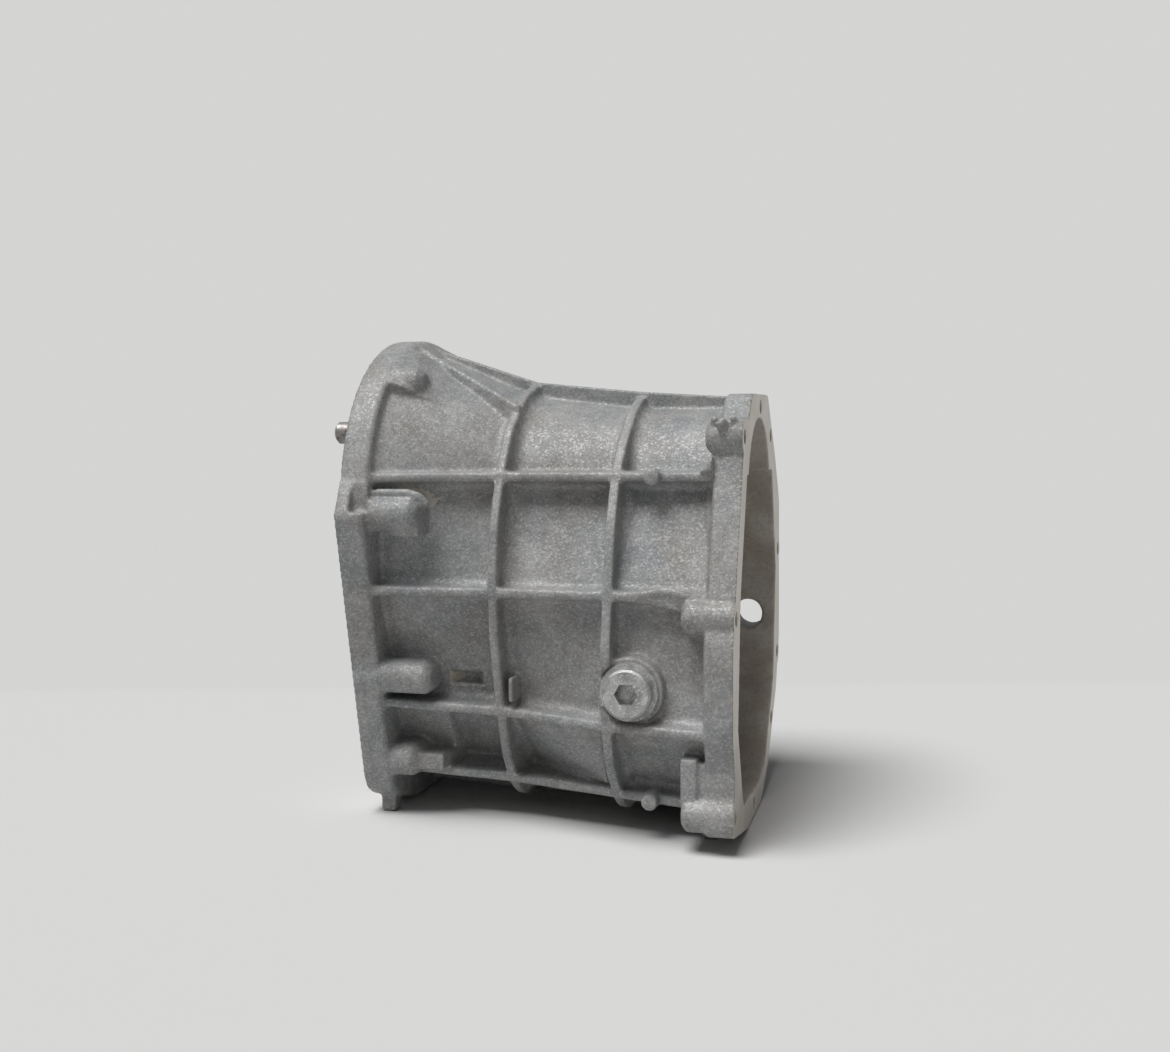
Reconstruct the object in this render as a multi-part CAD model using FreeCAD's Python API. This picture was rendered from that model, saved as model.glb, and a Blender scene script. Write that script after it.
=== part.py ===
import FreeCAD, Part
import math
import os
from FreeCAD import Vector

# Gearbox housing: the main case of a lengthwise gearbox, one aluminium die casting with a round-topped
# front flange, a ribbed shell that tapers back from it, and a many-sided rear flange that is open inside.
# Frame: X runs along the main shaft from the front flange's machined face to the rear, Z is up, -Y is the
# side with the filler plug, and the origin is on the main shaft's axis at the front face. Millimetres.

# ---- driving dimensions -------------------------------------------------------------------------------
LENGTH = 240.0            # front face to rear face
FRONT_FLANGE = 18.0       # thickness of the front flange
REAR_FLANGE = 17.5        # thickness of the rear flange
WALL = 5.5                # wall of the shell
RIB = 6.0                 # thickness of every rib
ROOT_R = 5.0              # fillet where a rib meets the wall
CREST_EDGE = 1.2          # bevel along a rib's crest
DOME_R = 104.7            # radius of the round top of the front flange
FLOOR_Z = -199.0          # the level that both flanges stand on
FRONT_RECESS = 20.0       # front face to the front wall
FRONT_WALL = 12.0         # thickness of the front wall
SHAFT_DROP = 85.0         # main shaft down to the layshaft

V1_X = 93.5               # first hoop rib, middle
V2_X = 164.5              # second hoop rib, middle
# side ribs: height of the middle at the front flange and at the rear flange
SIDE_RIBS = [(16.6, 16.6), (-52.0, -52.0), (-124.0, -129.5), (-170.0, -176.0)]
SPINE = 7.0               # thickness of the rib along the top and of its twin along the bottom

INPUT_BORE_R = 36.0       # seat of the input shaft's bearing
LAYSHAFT_BORE_R = 31.0    # seat of the layshaft's bearing
BORE_RIM = 9.5            # metal left round a bearing seat
INPUT_SEAT = 44.0         # length of the input bearing's seat, from the front face
LAYSHAFT_SEAT = 40.0      # length of the layshaft bearing's seat
RAIL_SEAT = 24.0          # length of a shift rail's bore, from the front wall's face
RAIL_R = 8.0              # bore of a shift rail
RAIL_Y = 68.0             # shift rails stand one over another on the far side
RAIL_Z = [-4.0, -30.0, -56.0]

PLUG_X = 178.0            # filler plug
PLUG_Z = -107.0
PLUG_THREAD_R = 12.0      # outside of the plug's thread, M24
PLUG_HEAD_R = 14.5
PLUG_HEAD = 8.0           # height of the plug's head
PLUG_HEX = 12.0           # across the flats of the socket
PLUG_SOCKET = 6.5         # depth of the socket
PLUG_SHANK = 15.0         # length under the washer
PLUG_FIT = 0.04           # radial room between the plug's thread and its hole
WASHER_R = 17.2
WASHER = 2.4              # thickness of the sealing washer
PLUG_BOSS_R = 20.0
PLUG_FACE_Y = -99.0       # machined face that the washer seats on

SWITCH_X = 221.0          # hole through the far wall
SWITCH_Z = -85.0
SWITCH_R = 10.0
SWITCH_BOSS_R = 17.5
SWITCH_FACE_Y = 110.0

DOWEL_R = 6.75            # stepped locating dowels of the front face, where they stand out
DOWEL_PRESS = 0.5         # how much fatter a dowel and its hole are where it is pressed in
DOWEL_OUT = 10.0          # how far a dowel stands out
DOWEL_IN = 14.0           # how deep it is pressed in
DOWELS = {"upper": (-84.0, 43.8), "lower": (89.0, -84.0)}

FRONT_BOLT_R = 5.1        # tapped M12 holes of the front face, drilled size
FRONT_BOLT_DEPTH = 28.0
FRONT_BOSS_R = 10.4       # bosses behind the front flange's holes
# holes of the near side and how far back each boss reaches; the far side has their mirror images
FRONT_BOLTS = [(-57.0, 75.0, 38.0), (-98.5, -5.5, 49.0), (-84.0, -107.0, 51.0), (-70.0, -162.5, 36.0)]
REAR_BOLT_R = 4.25        # tapped M10 holes of the rear face, drilled size
REAR_BOSS_R = 10.2
# and how deep each is drilled: the bosses take the deep ones
REAR_BOLTS = [(-64.5, 40.0, 20.0), (-97.0, -63.0, 24.0), (-98.5, -177.0, 24.0), (-22.0, -190.5, 15.0),
              (64.0, -154.0, 15.0), (96.5, -113.0, 24.0), (98.7, -40.0, 24.0), (56.5, 40.0, 15.0),
              (5.0, 58.5, 15.0)]

X_FRONT = FRONT_FLANGE            # where the shell starts
X_REAR = LENGTH - REAR_FLANGE     # where the shell ends
FAR_OUT = 150.0                   # well outside the casting, for the tools that cut it
FRONT_WALL_X = FRONT_RECESS + FRONT_WALL

# ---- cross-sections of the shell ----------------------------------------------------------------------
# The roof is a row of cones about the main shaft, and the side walls and the bottom hang under it. Each
# station gives the roof's radius, the crest of the spine at the top and at the bottom, the bottom wall, and
# for the near side and the far side: (crest y, wall y) of each side rib from the top down, and the wall's
# lower corner.
STATIONS = [
    (X_FRONT, 98.0, 101.0, -193.0, -183.0,
     ((-100, -92), (-101.5, -87), (-85, -66), (-62, -46)), (-38, -178),
     ((100, 92), (101.5, 87), (85, 68), (62, 46)), (38, -178)),
    (V1_X, 66.0, 76.0, -197.0, -188.0,
     ((-81, -68.5), (-97.5, -84.5), (-85, -68.5), (-64, -49)), (-38, -183),
     ((84, 70), (101, 88), (87, 73), (62, 48)), (37, -182)),
    (V2_X, 57.5, 68.8, -198.0, -189.0,
     ((-76.5, -61.5), (-98, -86), (-103, -90.5), (-77, -65)), (-54, -184),
     ((82, 69), (103.5, 91.5), (90, 77), (57, 45)), (34, -184)),
    (X_REAR, 57.0, 65.0, -198.0, -189.0,
     ((-72.5, -60.5), (-98, -86), (-107, -95), (-87, -75)), (-66, -185),
     ((83, 70), (104, 92), (92, 79.5), (50, 39)), (30, -184)),
]
# crests of the two hoop ribs, from the top down the near side and up the far side
CREST_1 = [(0, 76), (-32, 66.5), (-62, 45.5), (-80, 19), (-92, -10), (-97.5, -45), (-95.5, -80), (-86.5, -118),
           (-74.5, -156), (-52, -187), (0, -197), (50, -186), (74, -155), (90, -118), (99, -80), (101, -45),
           (97, -10), (83, 19), (62, 45.5), (32, 66.5)]
CREST_2 = [(0, 68.8), (-33, 55), (-60, 34.5), (-77, 16), (-88.5, -10), (-97, -45), (-104, -82), (-105, -118),
           (-95, -154), (-64, -188), (0, -198), (44, -187), (72, -156), (95, -120), (103, -84), (103.5, -48),
           (100, -12), (84, 14), (66, 37), (38, 57)]


def box(x0, x1, y0, y1, z0, z1):
    return Part.makeBox(x1 - x0, y1 - y0, z1 - z0, Vector(x0, y0, z0))


def rod_x(radius, x0, x1, y, z):
    return Part.makeCylinder(radius, x1 - x0, Vector(x0, y, z), Vector(1, 0, 0))


def rod_y(radius, x, y0, y1, z):
    return Part.makeCylinder(radius, y1 - y0, Vector(x, y0, z), Vector(0, 1, 0))


def prism(corners, direction):
    wire = Part.makePolygon(corners + corners[:1])
    return Part.Face(wire).extrude(direction)


def rounded(corners, x=0.0):
    """A closed wire through corners (y, z, radius) in the plane of this x, with an arc at each corner."""
    edges = []
    last_end = None
    for i, (y, z, r) in enumerate(corners + corners[:1]):
        here = Vector(x, y, z)
        count = len(corners)
        before = Vector(x, *corners[(i - 1) % count][:2]) - here
        after = Vector(x, *corners[(i + 1) % count][:2]) - here
        half = before.getAngle(after) / 2
        before.normalize()
        after.normalize()
        reach = r / math.tan(half)
        start, stop = here + before * reach, here + after * reach
        if last_end:
            edges.append(Part.LineSegment(last_end, start).toShape())
        if r > 0 and i < count:
            middle = here + (before + after).normalize() * (r / math.sin(half) - r)
            edges.append(Part.Arc(start, middle, stop).toShape())
        last_end = stop
    return Part.Wire(edges)


def skin(sections):
    """A solid through closed outlines, each a pair (x, corners), with straight runs between them."""
    return Part.makeLoft([rounded(corners, x) for x, corners in sections], True, True)


def cones(steps):
    """The upper part of a solid of revolution about the main shaft, through pairs (x, radius)."""
    points = [Vector(steps[0][0], 0, 0)] + [Vector(x, 0, r) for x, r in steps] + [Vector(steps[-1][0], 0, 0)]
    turned = Part.Face(Part.makePolygon(points + points[:1])).revolve(Vector(0, 0, 0), Vector(1, 0, 0), 360)
    return turned.common(box(-FAR_OUT, LENGTH + FAR_OUT, -FAR_OUT, FAR_OUT, SIDE_RIBS[0][0], FAR_OUT))


def between(first, second, share):
    """Blend two equal lists of numbers or of nested lists."""
    if isinstance(first, (int, float)):
        return first + (second - first) * share
    return [between(a, b, share) for a, b in zip(first, second)]


def station_at(x):
    """The station at any x: between its neighbours, or beyond an end along the straight run that ends there."""
    i = 0
    while i < len(STATIONS) - 2 and x > STATIONS[i + 1][0]:
        i += 1
    share = (x - STATIONS[i][0]) / (STATIONS[i + 1][0] - STATIONS[i][0])
    return between(STATIONS[i], STATIONS[i + 1], share)


def rib_z(k, x):
    """Height of side rib k's middle at x."""
    z_front, z_rear = SIDE_RIBS[k]
    return z_front + (z_rear - z_front) * (x - X_FRONT) / (X_REAR - X_FRONT)


def root(wall, z, side, way):
    """A rib's root at one flank as two chords of its fillet: way is +1 above the rib and -1 below it."""
    out = side * ROOT_R
    corners = [(wall, z + way * ROOT_R), (wall + 0.3 * out, z + way * 0.3 * ROOT_R), (wall + out, z)]
    return [(y, z, 0.0) for y, z in corners[::way]]


def side_corners(x, side, ribs, lower, ribbed, corner_r):
    """One side's corners at x from the top rib down: the bare wall, or the wall with its ribs."""
    corners = []
    half, tip = RIB / 2, RIB / 2 - CREST_EDGE
    for k, (crest, wall) in enumerate(ribs):
        z = rib_z(k, x)
        if not ribbed:
            corners.append((wall, z, corner_r if k else 0.0))
            continue
        if k:
            corners += root(wall, z + half, side, 1)
        edge = crest - side * CREST_EDGE
        corners += [(edge, z + half, 0.0), (crest, z + tip, 0.0), (crest, z - tip, 0.0), (edge, z - half, 0.0)]
        if k < len(ribs) - 1:
            corners += root(wall, z - half, side, -1)
        else:
            corners.append((wall, z - half, 0.0))
    return corners + [(lower[0], lower[1], corner_r)]


def outline(x, ribbed, corner_r=0.0):
    """The closed outline of the side walls and the bottom at x: down the near side and up the far side."""
    _, _, _, _, low_wall, near, near_low, far, far_low = station_at(x)
    near_side = side_corners(x, -1, near, near_low, ribbed, corner_r)
    far_side = side_corners(x, 1, far, far_low, ribbed, corner_r)
    return near_side + [(0.0, low_wall, corner_r)] + far_side[::-1]


def grown(corners, by):
    """The bare outline moved outwards (or inwards, by a negative amount), square to its own sides.

    Its two top corners only move sideways, so that it still meets the roof at the top side rib.
    """
    moved = []
    for i, (y, z, r) in enumerate(corners):
        if i in (0, len(corners) - 1):
            moved.append((y + by * math.copysign(1, y), z, r))
            continue
        y0, z0, _ = corners[i - 1]
        y1, z1, _ = corners[i + 1]
        run = math.hypot(y1 - y0, z1 - z0)
        moved.append((y + by * (z1 - z0) / run, z - by * (y1 - y0) / run, r))
    return moved


# ---- shell: the roof, and the ribbed side walls between the flanges and the hoop ribs ------------------
LAP = 4.0                 # how far the shell runs on into each flange
HOOP_R = 50.0             # smallest radius of a hoop's crest line
station_x = [station[0] for station in STATIONS]
shell = [cones([(X_FRONT - LAP, STATIONS[0][1])] + [(station[0], station[1]) for station in STATIONS]
               + [(X_REAR + LAP, STATIONS[-1][1])])]
for x0, x1 in ((X_FRONT - LAP, V1_X), (V1_X, V2_X), (V2_X, X_REAR + LAP)):
    shell.append(skin([(x0, outline(x0, True)), (x1, outline(x1, True))]))


def spine(heights, z_in):
    """The rib in the middle plane, along the top or along the bottom, over all the stations."""
    ends = [(X_FRONT - LAP, heights[0])] + list(zip(station_x, heights)) + [(X_REAR + LAP, heights[-1])]
    corners = [Vector(x, -SPINE / 2, z) for x, z in ends]
    corners += [Vector(ends[-1][0], -SPINE / 2, z_in), Vector(ends[0][0], -SPINE / 2, z_in)]
    return prism(corners, Vector(0, SPINE, 0))


SLANT_FRONT = (22.0, 98.6)      # the slanting rib on each side of the dome: y and crest z at the front flange
SLANT_REAR = (45.0, 57.5)       # and at the first hoop
shell += [spine([station[2] for station in STATIONS], 40.0), spine([station[3] for station in STATIONS], -180.0)]
for side in (-1, 1):
    ends = []
    for x, (y, z) in ((X_FRONT - LAP, SLANT_FRONT), (V1_X, SLANT_REAR)):
        inner_y, outer_y = side * (y - RIB / 2), side * (y + RIB / 2)
        ends.append((x, [(inner_y, z + 1, 0), (outer_y, z - 1, 0), (outer_y, z - 30, 0), (inner_y, z - 30, 0)]))
    shell.append(skin(ends))


def hoop(x, crest):
    wire = rounded([(y, z, HOOP_R) for y, z in crest], x - RIB / 2)
    return Part.Face(wire).extrude(Vector(RIB, 0, 0))


def collar(x, way):
    """The fillet round a hoop or a flange where it meets the wall: x is its face, and way points along it."""
    steps = [(-RIB / 2, ROOT_R), (0.0, ROOT_R), (0.3 * ROOT_R, 0.3 * ROOT_R), (ROOT_R, 0.0)]
    roof = cones([(x + way * t, station_at(x + way * t)[1] + h) for t, h in steps])
    return [roof, skin([(x + way * t, grown(outline(x + way * t, False), h)) for t, h in steps])]


shell += [hoop(V1_X, CREST_1), hoop(V2_X, CREST_2)]
for x, way in ((V1_X - RIB / 2, -1), (V1_X + RIB / 2, 1), (V2_X - RIB / 2, -1), (V2_X + RIB / 2, 1), (X_REAR, -1)):
    shell += collar(x, way)


# ---- flanges ------------------------------------------------------------------------------------------
def mirrored(corners):
    """Near-side corners from the top down, and then their mirror images from the bottom up."""
    return corners + [(-y, z, r) for y, z, r in reversed(corners)]


def plate(wire, x0, thickness):
    face = Part.Face(wire)
    face.translate(Vector(x0, 0, 0))
    return face.extrude(Vector(thickness, 0, 0))


SHOULDER_Z = 17.0         # the front flange's round top ends at this height
shoulder_y = math.sqrt(DOME_R ** 2 - SHOULDER_Z ** 2)
FRONT_LOWER = [(-shoulder_y, SHOULDER_Z, 6), (-114, -5, 9), (-76.5, -184, 24), (-36, FLOOR_Z + 1, 20)]
REAR_OUTLINE = [
    (-31, 66, 14), (-71, 28, 12), (-109.5, -78, 30), (-109.5, -130, 20), (-102, -150, 14),
    (-102, -165, 8), (-109, -178, 6), (-109, -187, 7), (-48, FLOOR_Z, 12), (12, FLOOR_Z, 16),
    (48, -182, 14), (92, -137, 16), (107.5, -104, 16), (106, -6, 12), (83, 24, 12), (41, 67, 10)]

RIM_R = 2.0               # rounding of a flange's cast edge


def with_rim(flange, x):
    """Round the outline of a flange where it faces the shell, at x."""
    return flange.makeChamfer(RIM_R, [e for e in flange.Edges
                                     if e.BoundBox.XLength < 0.01 and abs(e.BoundBox.XMin - x) < 0.01])


lower_plate = plate(rounded(mirrored(FRONT_LOWER)), 0, FRONT_FLANGE)
dome_plate = rod_x(DOME_R, 0, FRONT_FLANGE, 0, 0)
dome_plate = dome_plate.common(box(-1, FRONT_FLANGE + 1, -FAR_OUT, FAR_OUT, 0, FAR_OUT))
front_flange = with_rim(lower_plate.fuse(dome_plate).removeSplitter(), FRONT_FLANGE)
rear_flange = with_rim(plate(rounded(REAR_OUTLINE), X_REAR, REAR_FLANGE), X_REAR)


# ---- bosses on the outside ----------------------------------------------------------------------------
def drawn_boss(x0, x1, y, z, radius, end_r, rounded_x):
    """A bolt boss along X, round outside and flat-sided in towards the wall, as the die draws it."""
    inward = -math.copysign(30.0, y)
    block = box(x0, x1, min(y, y + inward), max(y, y + inward), z - radius, z + radius)
    boss = rod_x(radius, x0, x1, y, z).fuse(block).removeSplitter()
    return boss.makeChamfer(end_r, [e for e in boss.Edges if e.BoundBox.XLength < 0.01
                                   and abs(e.BoundBox.XMin - rounded_x) < 0.01
                                   and abs((e.BoundBox.YMin + e.BoundBox.YMax) / 2 - y - inward) > 1])


bosses = []
for side in (1, -1):
    for y, z, reach in FRONT_BOLTS[1:]:
        bosses.append(drawn_boss(2, reach, side * y, z, FRONT_BOSS_R, 4.5, reach))
rear_start = X_REAR - 13.5
for y, z, _ in REAR_BOLTS:
    if abs(y) > 90:
        bosses.append(drawn_boss(rear_start, LENGTH, y, z, REAR_BOSS_R, 3.0, rear_start))
ear_y, ear_z, _ = REAR_BOLTS[0]
bosses.append(drawn_boss(X_REAR - 5, LENGTH, ear_y, ear_z, REAR_BOSS_R, 3.0, X_REAR - 5))

# plug boss, and the boss of the hole through the far wall
bosses.append(rod_y(PLUG_BOSS_R, PLUG_X, PLUG_FACE_Y, PLUG_FACE_Y + 30, PLUG_Z))
bosses.append(rod_y(SWITCH_BOSS_R, SWITCH_X, SWITCH_FACE_Y - 30, SWITCH_FACE_Y, SWITCH_Z))

# pads that the ejector pins pressed on, standing out of the side ribs' crests
PAD_R = 5.0
PAD_X = 187.0
for k, crest_y in ((0, -76.0), (3, -85.0)):
    bosses.append(rod_y(PAD_R, PAD_X, crest_y - 5, crest_y + 12, rib_z(k, PAD_X)))

# the feet: a lug under each end of the near side, and their twins under the far side of the front flange
FOOT = 10.0
for y in (-66.0, 56.0):
    bosses.append(box(5.6, 5.6 + FOOT, y, y + FOOT, FLOOR_Z, -170))
bosses.append(box(216, 216 + FOOT, -75, -62, FLOOR_Z, -180))

# small lugs of the near side: a post on the rear boss, a gusset on the top side rib, a step on the upper
# front boss, a square lug by the lowest front boss, and a nub beside the first hoop rib
bosses.append(box(208.5, 218, -104, -80, -170, -144))
bosses.append(prism([Vector(215, -78, 19), Vector(223, -78, 19), Vector(223, -78, 30)], Vector(0, 16, 0)))
bosses.append(box(31, 49, -102, -80, -18.5, -10))
bosses.append(box(34, 52, -74, -44, -168, -157.5))
bosses.append(box(100.5, 103.5, -90, -70, -119, -104))

casting = shell[0].fuse(shell[1:] + [front_flange, rear_flange] + bosses)

# ---- inside: the gear chamber, the front wall with its bearing seats ----------------------------------
ends = [station_x[0] - 30] + station_x + [station_x[-1] + 30]
roof_space = cones([(x, STATIONS[min(max(i - 1, 0), 3)][1] - WALL) for i, x in enumerate(ends)])
side_space = skin([(x, grown(outline(station_x[min(max(i - 1, 0), 3)], False), -WALL)) for i, x in enumerate(ends)])
cavity = roof_space.fuse(side_space)
front_recess = cavity.common(box(-20, FRONT_RECESS, -FAR_OUT, FAR_OUT, -230, FAR_OUT))
gear_chamber = cavity.common(box(FRONT_WALL_X, LENGTH + 20, -FAR_OUT, FAR_OUT, -230, FAR_OUT))
casting = casting.cut([front_recess, gear_chamber])

inside = [
    rod_x(INPUT_BORE_R + BORE_RIM, 0, INPUT_SEAT, 0, 0),
    rod_x(LAYSHAFT_BORE_R + BORE_RIM, 0, LAYSHAFT_SEAT, 0, -SHAFT_DROP)]
for z in RAIL_Z:
    inside.append(rod_x(RAIL_R + 6, FRONT_RECESS + 1, FRONT_RECESS + RAIL_SEAT, RAIL_Y, z))
for side in (1, -1):
    y, z, reach = FRONT_BOLTS[0]
    stub = rod_x(FRONT_BOSS_R - 1, 2, reach, side * y, z)
    inside.append(stub.makeChamfer(4.0, [e for e in stub.Edges if abs(e.BoundBox.XMin - reach) < 0.01]))
for y, z in DOWELS.values():
    inside.append(rod_x(DOWEL_R + 4, 0, FRONT_FLANGE, y, z).common(front_flange))
casting = casting.fuse(inside)

# ---- machined holes and faces -------------------------------------------------------------------------
holes = [
    rod_x(INPUT_BORE_R, -1, 60, 0, 0),
    rod_x(LAYSHAFT_BORE_R, -1, 60, 0, -SHAFT_DROP),
    rod_y(PLUG_THREAD_R + PLUG_FIT, PLUG_X, -FAR_OUT, -60, PLUG_Z),
    rod_y(WASHER_R + 1.0, PLUG_X, -FAR_OUT, PLUG_FACE_Y, PLUG_Z),
    rod_y(SWITCH_R, SWITCH_X, 60, FAR_OUT, SWITCH_Z)]
for z in RAIL_Z:
    holes.append(rod_x(RAIL_R, 0, 60, RAIL_Y, z))
for y, z, _ in FRONT_BOLTS:
    for side in (1, -1):
        holes.append(rod_x(FRONT_BOLT_R, -1, FRONT_BOLT_DEPTH, side * y, z))
for y, z, depth in REAR_BOLTS:
    holes.append(rod_x(REAR_BOLT_R, LENGTH - depth, LENGTH + 1, y, z))
for y, z in DOWELS.values():
    holes.append(rod_x(DOWEL_R + DOWEL_PRESS, -1, DOWEL_IN, y, z))
# the notch in the near rim of the front flange, and the blind pocket ahead of the first hoop rib
holes.append(box(8.5, FRONT_FLANGE + 1, -FAR_OUT, -104.8, -4, 14.5))
holes.append(box(56, 78, -FAR_OUT, -69, -113.5, -104.5))
casting = casting.cut(holes)

# ---- the loose pieces ---------------------------------------------------------------------------------
washer = rod_y(WASHER_R, PLUG_X, PLUG_FACE_Y - WASHER, PLUG_FACE_Y, PLUG_Z)
washer = washer.cut(rod_y(PLUG_THREAD_R + 0.3, PLUG_X, -FAR_OUT, FAR_OUT, PLUG_Z))

head_y = PLUG_FACE_Y - WASHER
head = rod_y(PLUG_HEAD_R, PLUG_X, head_y - PLUG_HEAD, head_y, PLUG_Z)
head = head.makeChamfer(1.2, [e for e in head.Edges if abs(e.BoundBox.YMax - head_y + PLUG_HEAD) < 0.01])
shank = rod_y(PLUG_THREAD_R, PLUG_X, head_y, head_y + WASHER + PLUG_SHANK, PLUG_Z)
hexagon = [Vector(PLUG_X + PLUG_HEX / math.sqrt(3) * math.cos(math.pi / 3 * i),
                  head_y - PLUG_HEAD, PLUG_Z + PLUG_HEX / math.sqrt(3) * math.sin(math.pi / 3 * i))
           for i in range(6)]
plug = head.fuse(shank).removeSplitter().cut(prism(hexagon, Vector(0, PLUG_SOCKET, 0)))

nodes = {"housing": casting, "filler_plug": plug, "plug_washer": washer}
for name, (y, z) in DOWELS.items():
    pin = rod_x(DOWEL_R, -DOWEL_OUT, 0, y, z).fuse(rod_x(DOWEL_R + DOWEL_PRESS, 0, DOWEL_IN, y, z))
    ends = [e for e in pin.Edges if e.BoundBox.XLength < 0.01 and min(abs(e.BoundBox.XMin + DOWEL_OUT),
                                                                      abs(e.BoundBox.XMin - DOWEL_IN)) < 0.01]
    nodes["dowel_pin_" + name] = pin.makeChamfer(1.5, ends)

os.makedirs("parts", exist_ok=True)
for name, shape in nodes.items():
    shape.exportStep("parts/" + name + ".step")
    print(name, shape.isValid(), len(shape.Solids), round(shape.Volume))
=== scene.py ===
import math

import bmesh
import bpy
import numpy as np
from mathutils import Matrix, Vector
from mathutils.bvhtree import BVHTree


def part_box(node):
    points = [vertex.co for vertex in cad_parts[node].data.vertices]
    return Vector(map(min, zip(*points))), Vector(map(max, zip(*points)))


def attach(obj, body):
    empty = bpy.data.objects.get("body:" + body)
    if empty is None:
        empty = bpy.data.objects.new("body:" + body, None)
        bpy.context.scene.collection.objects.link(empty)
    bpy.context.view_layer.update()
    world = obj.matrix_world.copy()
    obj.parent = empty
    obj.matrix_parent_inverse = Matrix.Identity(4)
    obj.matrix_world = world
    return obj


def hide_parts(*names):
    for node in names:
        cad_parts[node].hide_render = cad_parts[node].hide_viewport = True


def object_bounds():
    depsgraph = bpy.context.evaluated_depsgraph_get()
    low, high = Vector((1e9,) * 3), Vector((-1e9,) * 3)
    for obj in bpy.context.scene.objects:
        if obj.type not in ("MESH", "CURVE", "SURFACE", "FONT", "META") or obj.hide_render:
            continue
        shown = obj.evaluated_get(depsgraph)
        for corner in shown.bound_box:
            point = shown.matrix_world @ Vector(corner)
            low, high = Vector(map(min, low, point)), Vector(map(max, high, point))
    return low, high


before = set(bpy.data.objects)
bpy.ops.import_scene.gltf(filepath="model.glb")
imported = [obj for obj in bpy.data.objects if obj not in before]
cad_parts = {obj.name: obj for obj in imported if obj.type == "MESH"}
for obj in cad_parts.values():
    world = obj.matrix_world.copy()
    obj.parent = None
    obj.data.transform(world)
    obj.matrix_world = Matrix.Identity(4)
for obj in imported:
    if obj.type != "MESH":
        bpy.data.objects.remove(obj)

# The box of the whole case as it was built, before it is dressed. The looks keep to it.
cad_low, cad_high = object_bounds()
MM = 0.001

# ---- Viewpoint ----------------------------------------------------------------------------------------
# A lens at bench height looks at the ribbed near side of the case, a little from the rear, so that the open
# end shows. Yaw is measured from +Y towards -X, and a positive pitch looks down.
YAW = math.radians(15.22)
PITCH = math.radians(4.21)
ROLL = math.radians(-0.42)
EYE = Vector((0.3488, -0.8224, 0.0442))
LENS_MM = 39.91
SENSOR_MM = 36.0
FAR_CLIP = 20.0

gaze = Vector((-math.sin(YAW) * math.cos(PITCH), math.cos(YAW) * math.cos(PITCH), -math.sin(PITCH)))
level_right = Vector((math.cos(YAW), math.sin(YAW), 0.0))
level_up = level_right.cross(gaze)
right = level_right * math.cos(ROLL) + level_up * math.sin(ROLL)
up = level_up * math.cos(ROLL) - level_right * math.sin(ROLL)
lens = bpy.data.cameras.new("lens")
lens.lens = LENS_MM
lens.sensor_width = SENSOR_MM
lens.clip_end = FAR_CLIP
viewpoint = bpy.data.objects.new("viewpoint", lens)
viewpoint.matrix_world = Matrix.Translation(EYE) @ Matrix((right, up, -gaze)).transposed().to_4x4()
bpy.context.scene.collection.objects.link(viewpoint)
bpy.context.scene.camera = viewpoint
bpy.context.scene.view_settings.view_transform = "Standard"


# ---- The casting --------------------------------------------------------------------------------------
# One aluminium casting, bead blasted and sprayed silver outside, left bare inside. Its cast edges are rounded
# and its roots filled, while the machined end faces stay flat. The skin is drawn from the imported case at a
# fine pitch together with the small cast forms below, eased where it is cast, and thinned where it is flat.
class Wire:
    """One value inside a finish, so that masks and heights are written as plain arithmetic."""

    def __init__(self, finish, socket):
        self.finish = finish
        self.socket = socket

    def maths(self, operation, first, second):
        return self.finish.node("ShaderNodeMath", {"operation": operation}, {0: first, 1: second})

    def __add__(self, other):
        return self.maths("ADD", self, other)

    __radd__ = __add__

    def __sub__(self, other):
        return self.maths("SUBTRACT", self, other)

    def __rsub__(self, other):
        return self.maths("SUBTRACT", other, self)

    def __mul__(self, other):
        return self.maths("MULTIPLY", self, other)

    __rmul__ = __mul__

    def rise(self, low, high):
        """0 at low and 1 at high, with a soft step between. High may be the smaller of the two."""
        settings = {"interpolation_type": "SMOOTHSTEP"}
        return self.finish.node("ShaderNodeMapRange", settings, {"Value": self, 1: low, 2: high})


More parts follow.
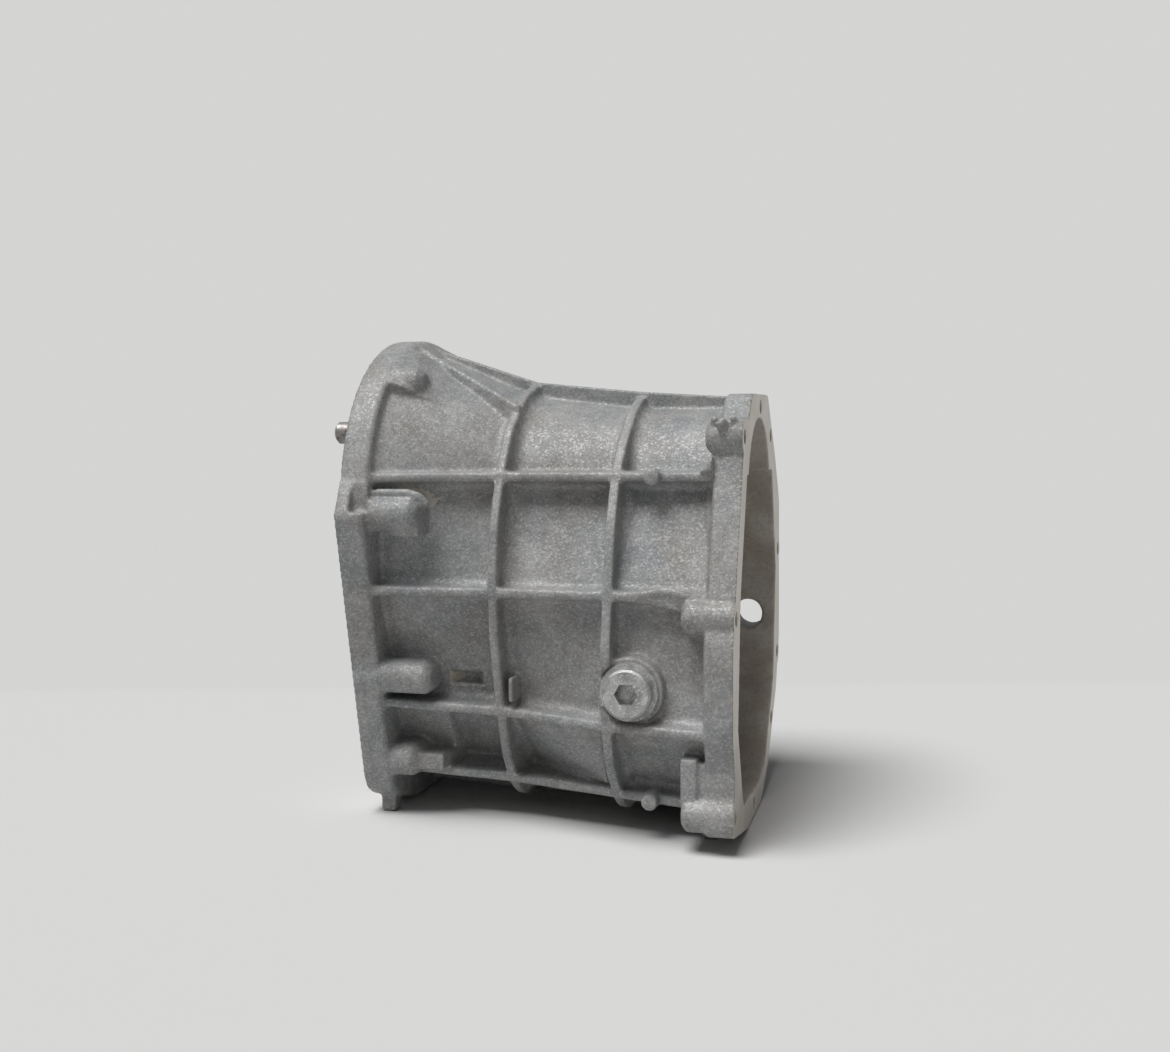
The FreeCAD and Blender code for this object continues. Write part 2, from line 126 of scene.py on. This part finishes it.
class Finish:
    """The shader of one material, or of the sky, whose nodes are all made by one method."""

    def __init__(self, owner, output="ShaderNodeOutputMaterial"):
        self.owner = owner
        self.owner.use_nodes = True
        self.tree = self.owner.node_tree
        self.tree.nodes.clear()
        self.output = self.tree.nodes.new(output)

    def node(self, kind, settings, inputs, out=0):
        """A node of one kind with its settings, then its values and links, and one of its outputs."""
        made = self.tree.nodes.new(kind)
        for name, value in settings.items():
            setattr(made, name, value)
        for name, value in inputs.items():
            if isinstance(value, Wire):
                self.tree.links.new(value.socket, made.inputs[name])
            elif isinstance(value, tuple) and len(value) < len(made.inputs[name].default_value):
                made.inputs[name].default_value = (*value, 1.0)
            else:
                made.inputs[name].default_value = value
        return Wire(self, made.outputs[out])

    def place(self):
        """Where a point lies on the piece, in metres."""
        return self.node("ShaderNodeTexCoord", {}, {}, "Object")

    def noise(self, size, detail=4.0, rough=0.55):
        """Cloudy noise whose patches are about this many metres across."""
        inputs = {"Vector": self.place(), "Scale": 1.0 / size, "Detail": detail, "Roughness": rough}
        return self.node("ShaderNodeTexNoise", {}, inputs)

    def grains(self, size):
        """Round grains about this many metres across, 0 in the middle of each."""
        return self.node("ShaderNodeTexVoronoi", {}, {"Vector": self.place(), "Scale": 1.0 / size})

    def flecks(self, size):
        """A random grey for each grain of this size."""
        inputs = {"Vector": self.place(), "Scale": 1.0 / size}
        colour = self.node("ShaderNodeTexVoronoi", {}, inputs, "Color")
        return self.node("ShaderNodeSeparateColor", {}, {"Color": colour})

    def mix(self, share, first, second):
        """From the first colour to the second as the share rises."""
        return self.node("ShaderNodeMix", {"data_type": "RGBA"}, {0: share, 6: first, 7: second}, 2)

    def bump(self, height, depth, under=None):
        """The normal of a surface that rises by depth metres where height is 1, over a normal under it."""
        inputs = {"Height": height, "Distance": depth, "Strength": 1.0}
        if under is not None:
            inputs["Normal"] = under
        return self.node("ShaderNodeBump", {}, inputs)

    def wear(self, shader):
        """Sends a shader to the output, and gives back the finished material."""
        self.tree.links.new(shader.socket, self.output.inputs["Surface"])
        return self.owner

    def surface(self, values):
        """A finished material of one plain surface shader."""
        return self.wear(self.node("ShaderNodeBsdfPrincipled", {}, values))


def blasted_silver():
    """Silver spray over a bead-blasted casting: grain with painted glints, cloudy film, darker where it is
    thin.
    """
    thin_blue, thin_brown = (0.205, 0.215, 0.22), (0.22, 0.212, 0.202)
    full, dull, painted_glint = (0.33, 0.328, 0.322), (0.08, 0.085, 0.09), (0.66, 0.66, 0.65)
    paint = Finish(bpy.data.materials.new("blasted_silver"))
    clouds = paint.noise(34 * MM, 3.0)
    patches = paint.noise(9 * MM, 5.0, 0.6)
    film = clouds.rise(0.35, 0.68) * 0.55 + patches.rise(0.38, 0.66) * 0.45
    tint = paint.noise(55 * MM, 2.0).rise(0.40, 0.60)
    flecks = paint.flecks(1.0 * MM)
    # Random grains get a painted glint: their base colour is lightened towards a bright grey, and their
    # roughness is lowered.
    glint = flecks.rise(0.62, 1.0)
    grey = paint.mix(film, paint.mix(tint, thin_blue, thin_brown), full)
    grey = paint.mix(flecks.rise(0.36, 0.0) * 0.30, grey, dull)
    grey = paint.mix(glint * 0.22, grey, painted_glint)
    rough = 0.60 - glint * 0.14 + patches * 0.08
    grit = paint.bump(paint.noise(0.8 * MM, 2.0), 0.10 * MM)
    dimples = paint.bump(paint.grains(1.2 * MM), 0.07 * MM, grit)
    waves = paint.bump(paint.noise(6 * MM, 3.0), 0.30 * MM, dimples)
    return paint.surface({"Base Color": grey, "Metallic": 0.18, "Roughness": rough, "Normal": waves})


def milled_metal():
    """A milled aluminium face gone straw coloured with age, with fine arcs left by the cutter."""
    straw, clean, spot = (0.46, 0.42, 0.36), (0.54, 0.52, 0.49), (0.20, 0.16, 0.12)
    arc_pitch = 1.4 * MM
    metal = Finish(bpy.data.materials.new("milled_face"))
    stain = metal.noise(22 * MM, 4.0)
    tone = metal.mix(stain.rise(0.35, 0.7), straw, clean)
    tone = metal.mix(metal.noise(3 * MM).rise(0.62, 0.8) * 0.5, tone, spot)
    arcs = metal.node("ShaderNodeTexWave", {"wave_type": "RINGS"},
                      {"Vector": metal.place(), "Scale": 1.0 / arc_pitch / 6.28, "Distortion": 1.5})
    return metal.surface({"Base Color": tone, "Metallic": 0.85, "Roughness": 0.34 + stain * 0.15,
                          "Normal": metal.bump(arcs, 0.012 * MM)})


def raw_casting():
    """The unpainted inside of the case: bare casting, browned by oil."""
    oily, dry, sooty = (0.38, 0.34, 0.29), (0.52, 0.49, 0.44), (0.20, 0.165, 0.13)
    bare = Finish(bpy.data.materials.new("raw_casting"))
    tone = bare.mix(bare.noise(30 * MM, 4.0).rise(0.35, 0.68), oily, dry)
    tone = bare.mix(bare.flecks(1.2 * MM).rise(0.5, 0.0) * 0.3, tone, sooty)
    grit = bare.bump(bare.noise(0.9 * MM, 2.0), 0.10 * MM)
    return bare.surface({"Base Color": tone, "Metallic": 0.2, "Roughness": 0.62, "Normal": grit})


# the small cast forms, in millimetres, with the origin on the main shaft at the front face
ROOF_FILL = [(10, 96), (10, 104), (18.5, 103.6), (29, 93.8), (24, 88)]     # corners: x and radius
ROOF_REACH = 20                     # degrees that it reaches down each side of the roof
CHEEK_FILL = [(10, 96), (10, 104), (19, 103.9), (27, 100.5), (37, 92.5), (46, 86.2), (30, 84)]
CHEEK_REACH = (19, 44)
SLANT_FRONT = (14, 21.5, 100.2)     # ends of the slanting rib's crest: x, y out from the middle, z
SLANT_REAR = (93.5, 45, 58.5)
SLANT_R = 3.0
POCKET = ((56, 78), (-90, -55), (-113.5, -104.5))        # the blind pocket: its ends in x, y and z
POCKET_BACK = ((53, 81), (-68, -50), (-117, -101))       # the metal behind it
LUG_WEB = ((214, 224), (-101, -84), (-176, -147))        # ties the low rear lug to its flange
LIP = [(22, -99, 7.5), (42, -99, 7.5), (48.5, -98.3, 5.5), (52.5, -96.8, 1.0)]
LIP_R = 2.6                         # the lip that hoods the upper front lug
SWELLING = [(170, -95.5, -52), (180, -95.8, -51.6), (189, -96.3, -50), (196, -97, -48.4),
            (203, -97, -48.6), (211, -97, -51)]
SWELLING_R = 2.9                    # where the second side rib swells towards the middle rear lug
RIB_WEB = [(170, -52), (207, -48.5), (207, -60.5), (190, -56.5), (172, -55)]     # corners: x and z
RIB_WEB_Y = (-98.5, -90)
BROKEN_TOP = [((223, -72, 50), 2.4), ((229, -76, 49.5), 1.9), ((234, -71, 50.5), 2.3),
              ((226, -79, 47.5), 2.0)]        # stubs left on the upper rear lug: place and radius
STUB = (1.5, 2, -3)                 # from a stub's tip to its foot
FOLDED = ((96.5, 161.5), (-127.5, -171.0))    # the folded panel low on the near side: ends in x and z
FOLD_OUT = 10.0                     # how far its low rear corner comes out
FOLD_IN = 14.0                      # how far its low front corner goes in
SUNK = ((52.0, 90.5), (-129.0, -169.0))       # the panel in front of it, which is set back
SINK = 9.0

# how the skin is drawn
VOXEL = 1.1 * MM
WELD = 0.002 * MM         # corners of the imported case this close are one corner
RELAX_ROUNDS = 7          # how far the cast edges are rounded
RELAX_FACTOR = 0.5
TRIANGLES = 185000
FLAT_KEEP = 0.4 * MM      # a point this near an end face is machined, and keeps its place
SQUARE_ON = 0.9           # a machined face looks along the shaft at least this nearly
INSIDE_FROM = 31.5 * MM   # the hollow begins behind the front wall
RAY_LIFT = 0.05 * MM
SIDEWAYS = (Vector((0, 1, 0)), Vector((0, -1, 0)), Vector((0, 0, 1)), Vector((0, 0, -1)))


def block(form, x, y, z):
    """A closed block between two values of x, y and z in millimetres, added to a form."""
    size = Matrix.Diagonal(((x[1] - x[0]) * MM, (y[1] - y[0]) * MM, (z[1] - z[0]) * MM, 1.0))
    middle = Vector((sum(x), sum(y), sum(z))) * MM / 2
    bmesh.ops.create_cube(form, size=1.0, matrix=Matrix.Translation(middle) @ size)


def ring(form, profile, start, end, steps):
    """A closed ring about the main shaft: corners (x, radius) swept between two angles, 0 at the top."""
    loops = []
    for i in range(steps + 1):
        angle = math.radians(start + (end - start) * i / steps)
        loops.append([form.verts.new((x * MM, -r * MM * math.sin(angle), r * MM * math.cos(angle)))
                      for x, r in profile])
    for near, far in zip(loops, loops[1:]):
        for i in range(len(profile)):
            j = (i + 1) % len(profile)
            form.faces.new((near[i], near[j], far[j], far[i]))
    form.faces.new(list(reversed(loops[0])))
    form.faces.new(loops[-1])


def tube(form, path, radius):
    """A round bar along a path of points in millimetres, with a ball at each point."""
    for point in path:
        bmesh.ops.create_icosphere(form, subdivisions=3, radius=radius * MM,
                                   matrix=Matrix.Translation(Vector(point) * MM))
    for first, second in zip(path, path[1:]):
        start, end = Vector(first) * MM, Vector(second) * MM
        turn = (end - start).to_track_quat("Z", "Y").to_matrix().to_4x4()
        bmesh.ops.create_cone(form, cap_ends=True, segments=24, radius1=radius * MM, radius2=radius * MM,
                              depth=(end - start).length, matrix=Matrix.Translation((start + end) / 2) @ turn)


def gusset(form, corners, y):
    """A flat web whose corners (x, z) stand between two values of y, in millimetres."""
    near = [form.verts.new((x * MM, y[0] * MM, z * MM)) for x, z in corners]
    far = [form.verts.new((x * MM, y[1] * MM, z * MM)) for x, z in corners]
    form.faces.new(near)
    form.faces.new(list(reversed(far)))
    for i in range(len(corners)):
        j = (i + 1) % len(corners)
        form.faces.new((near[j], near[i], far[i], far[j]))


def settle(piece):
    """Puts what a piece's modifiers make of it into its own mesh."""
    bpy.context.view_layer.update()
    ready = piece.evaluated_get(bpy.context.evaluated_depsgraph_get())
    piece.data = bpy.data.meshes.new_from_object(ready)
    piece.modifiers.clear()


def ease(value, low, high):
    """0 at low and 1 at high, with a soft step between, for arrays. High may be the smaller of the two."""
    share = np.clip((value - low) / (high - low), 0, 1)
    return share * share * (3 - 2 * share)


def panel(points, ends, fades):
    """How far each point lies along a side panel and down it, from 0 to 1, and a mask that is 1 in the panel
    and fades out at its front, rear, top and bottom edges."""
    (x_front, x_rear), (z_top, z_bottom) = ends
    front, rear, top, bottom = fades
    along = (points[:, 0] / MM - x_front) / (x_rear - x_front)
    down = (z_top - points[:, 2] / MM) / (z_top - z_bottom)
    mask = ease(along, 0.0, front) * ease(along, 1.0, rear) * ease(down, 0.0, top) * ease(down, 1.0, bottom)
    return along, down, mask


def fold(points, ends, rear_out, front_in):
    """Folds a side panel along its diagonal, which falls towards the rear: the corner at the low rear end
    comes out and the low front corner goes in, while the edge under the rib above stays. Millimetres."""
    along, down, mask = panel(points, ends, (0.07, 0.93, 0.05, 0.93))
    shift = -rear_out * np.minimum(down, along) + front_in * np.maximum(down - along, 0.0)
    near_side = ease(points[:, 1] / MM, -38.0, -44.0)
    points[:, 1] += (shift * mask * near_side * MM).astype(points.dtype)


def sink(points, ends, depth):
    """Sets a side panel back by a depth in its middle, leaving its edges. Millimetres."""
    mask = panel(points, ends, (0.12, 0.85, 0.12, 0.9))[2]
    near_side = ease(points[:, 1] / MM, -30.0, -38.0) * ease(points[:, 1] / MM, -74.0, -70.0)
    points[:, 1] += (depth * mask * near_side * MM).astype(points.dtype)


def on_end(x):
    """True where x lies on one of the machined end faces."""
    return (abs(x - case_low.x) < FLAT_KEEP) | (abs(x - case_high.x) < FLAT_KEEP)


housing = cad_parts["housing"]
case_low, case_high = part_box("housing")
skin = bpy.data.objects.new("cast_case", housing.data.copy())
bpy.context.scene.collection.objects.link(skin)
raw = bmesh.new()
raw.from_mesh(skin.data)
bmesh.ops.remove_doubles(raw, verts=raw.verts, dist=WELD)
ring(raw, ROOF_FILL, -ROOF_REACH, ROOF_REACH, 16)
for side in (1, -1):
    ring(raw, CHEEK_FILL, side * CHEEK_REACH[0], side * CHEEK_REACH[1], 14)
    tube(raw, [(x, side * y, z) for x, y, z in (SLANT_FRONT, SLANT_REAR)], SLANT_R)
block(raw, *POCKET_BACK)
block(raw, *LUG_WEB)
tube(raw, LIP, LIP_R)
tube(raw, SWELLING, SWELLING_R)
gusset(raw, RIB_WEB, RIB_WEB_Y)
for tip, radius in BROKEN_TOP:
    tube(raw, [tip, tuple(a + b for a, b in zip(tip, STUB))], radius)
bmesh.ops.recalc_face_normals(raw, faces=raw.faces)
raw.to_mesh(skin.data)
raw.free()
remesh = skin.modifiers.new("skin", "REMESH")
remesh.mode = "VOXEL"
remesh.voxel_size = VOXEL
settle(skin)

# the blind pocket is cut once its back is one with the wall
pocket_form = bmesh.new()
block(pocket_form, *POCKET)
pocket_mesh = bpy.data.meshes.new("pocket")
pocket_form.to_mesh(pocket_mesh)
pocket_form.free()
pocket = bpy.data.objects.new("pocket", pocket_mesh)
bpy.context.scene.collection.objects.link(pocket)
cut = skin.modifiers.new("cut", "BOOLEAN")
cut.operation = "DIFFERENCE"
cut.solver = "EXACT"
cut.object = pocket
settle(skin)
bpy.data.objects.remove(pocket)

points = np.zeros(len(skin.data.vertices) * 3, np.float32)
skin.data.vertices.foreach_get("co", points)
points = points.reshape(-1, 3)
fold(points, FOLDED, FOLD_OUT, FOLD_IN)
sink(points, SUNK, SINK)
skin.data.vertices.foreach_set("co", points.ravel())
cast = skin.vertex_groups.new(name="cast")
cast.add([int(i) for i in np.flatnonzero(~on_end(points[:, 0]))], 1.0, "REPLACE")
relax = skin.modifiers.new("relax", "SMOOTH")
relax.factor = RELAX_FACTOR
relax.iterations = RELAX_ROUNDS
relax.vertex_group = "cast"
thin = skin.modifiers.new("thin", "DECIMATE")
thin.ratio = TRIANGLES / (2 * len(skin.data.polygons))
settle(skin)
skin.vertex_groups.clear()

# paint outside, milled metal on the end faces, and bare casting where there is a wall on every side
skin.data.materials.clear()
for finish in (blasted_silver(), milled_metal(), raw_casting()):
    skin.data.materials.append(finish)
PAINTED, MILLED, BARE = range(3)
form = bmesh.new()
form.from_mesh(skin.data)
walls = BVHTree.FromBMesh(form)
form.free()
for face in skin.data.polygons:
    spot = face.center + face.normal * RAY_LIFT
    milled = on_end(spot.x) and abs(face.normal.x) > SQUARE_ON
    within = spot.x > INSIDE_FROM and all(walls.ray_cast(spot, way)[0] for way in SIDEWAYS)
    face.use_smooth = not milled
    face.material_index = MILLED if milled else BARE if within else PAINTED
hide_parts("housing")
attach(skin, "root")


# ---- Filler plug, its washer and the dowels -------------------------------------------------------------
# A turned steel plug with a hexagon socket, screwed home over a sealing washer and sprayed over with the
# case, and two hardened dowel pins pressed into the front face and left bare.
def painted_steel():
    """Silver spray on a turned steel plug, with the same grain and painted glints but a tighter film."""
    thin_film, full, painted_glint = (0.27, 0.27, 0.27), (0.46, 0.46, 0.45), (0.85, 0.85, 0.84)
    paint = Finish(bpy.data.materials.new("painted_steel"))
    grey = paint.mix(paint.noise(8 * MM, 4.0).rise(0.35, 0.7), thin_film, full)
    # Random grains are lightened towards a bright grey: a painted glint.
    grey = paint.mix(paint.flecks(0.7 * MM).rise(0.75, 0.98) * 0.5, grey, painted_glint)
    grit = paint.bump(paint.noise(0.9 * MM, 2.0), 0.12 * MM)
    return paint.surface({"Base Color": grey, "Metallic": 0.6, "Roughness": 0.5, "Normal": grit})


def bare_steel():
    """A ground steel pin, dulled to brown in places."""
    ground, browned = (0.24, 0.235, 0.23), (0.13, 0.10, 0.08)
    steel = Finish(bpy.data.materials.new("bare_steel"))
    age = steel.noise(4 * MM, 4.0)
    grit = steel.bump(steel.noise(0.5 * MM, 2.0), 0.02 * MM)
    return steel.surface({"Base Color": steel.mix(age.rise(0.45, 0.7), ground, browned), "Metallic": 0.9,
                          "Roughness": 0.32 + age * 0.2, "Normal": grit})


for names, finish in ((("filler_plug", "plug_washer"), painted_steel()),
                      (("dowel_pin_upper", "dowel_pin_lower"), bare_steel())):
    for name in names:
        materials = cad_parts[name].data.materials
        materials.clear()
        materials.append(finish)


# ---- Studio -------------------------------------------------------------------------------------------
# A pale floor that turns into a slightly greyer sweep behind the case, a wide soft key light from the upper
# left, and an even dim sky. The sweep and the sky show one tone, whatever the lamps do.
FLOOR_TONE = (0.64, 0.64, 0.635)
FLOOR_HALF = 8.0
SWEEP_TONE = (0.66, 0.66, 0.655)
SWEEP_BEHIND = 0.36       # from the middle of the case to where the sweep begins
SWEEP_BLEND = (-0.01, 0.02)
SKY_LIGHT = (0.12, 0.12, 0.12)
KEY_LIGHT = 3.2
KEY_WIDTH = math.radians(34)
KEY_WAY = Vector((0.24, 0.34, -1.0))
BACKGROUND_RAYS = ("Is Camera Ray", "Is Glossy Ray", "Is Transmission Ray")


def background(finish):
    """1 where a background is looked at, also in a reflection or through glass, and 0 where it lights."""
    lens_ray, mirror_ray, glass_ray = (finish.node("ShaderNodeLightPath", {}, {}, ray)
                                       for ray in BACKGROUND_RAYS)
    return lens_ray + mirror_ray + glass_ray


floor_mesh = bpy.data.meshes.new("floor")
corners = [(x * FLOOR_HALF, y * FLOOR_HALF, cad_low.z) for x, y in ((-1, -1), (1, -1), (1, 1), (-1, 1))]
floor_mesh.from_pydata(corners, [], [(0, 1, 2, 3)])
floor = bpy.data.objects.new("floor", floor_mesh)
bpy.context.scene.collection.objects.link(floor)
ground = Finish(bpy.data.materials.new("pale_floor"))
level_gaze = Vector((-math.sin(YAW), math.cos(YAW), 0.0))
away = ground.node("ShaderNodeVectorMath", {"operation": "DOT_PRODUCT"},
                   {0: ground.place(), 1: tuple(level_gaze)}, "Value")
sweep_start = ((cad_low + cad_high) / 2).dot(level_gaze) + SWEEP_BEHIND
sweep = away.rise(*(sweep_start + step for step in SWEEP_BLEND))
lit = ground.node("ShaderNodeBsdfDiffuse", {}, {"Color": FLOOR_TONE})
plain = ground.node("ShaderNodeEmission", {}, {"Color": SWEEP_TONE, "Strength": 1.0})
both = ground.node("ShaderNodeMixShader", {}, {0: sweep * background(ground), 1: lit, 2: plain})
floor_mesh.materials.append(ground.wear(both))

sky = Finish(bpy.data.worlds.new("sky"), "ShaderNodeOutputWorld")
tone = sky.mix(background(sky), SKY_LIGHT, SWEEP_TONE)
bpy.context.scene.world = sky.wear(sky.node("ShaderNodeBackground", {}, {"Color": tone, "Strength": 1.0}))

key = bpy.data.lights.new("key", "SUN")
key.energy = KEY_LIGHT
key.angle = KEY_WIDTH
lamp = bpy.data.objects.new("key", key)
lamp.rotation_mode = "QUATERNION"
lamp.rotation_quaternion = KEY_WAY.to_track_quat("-Z", "Y")
bpy.context.scene.collection.objects.link(lamp)
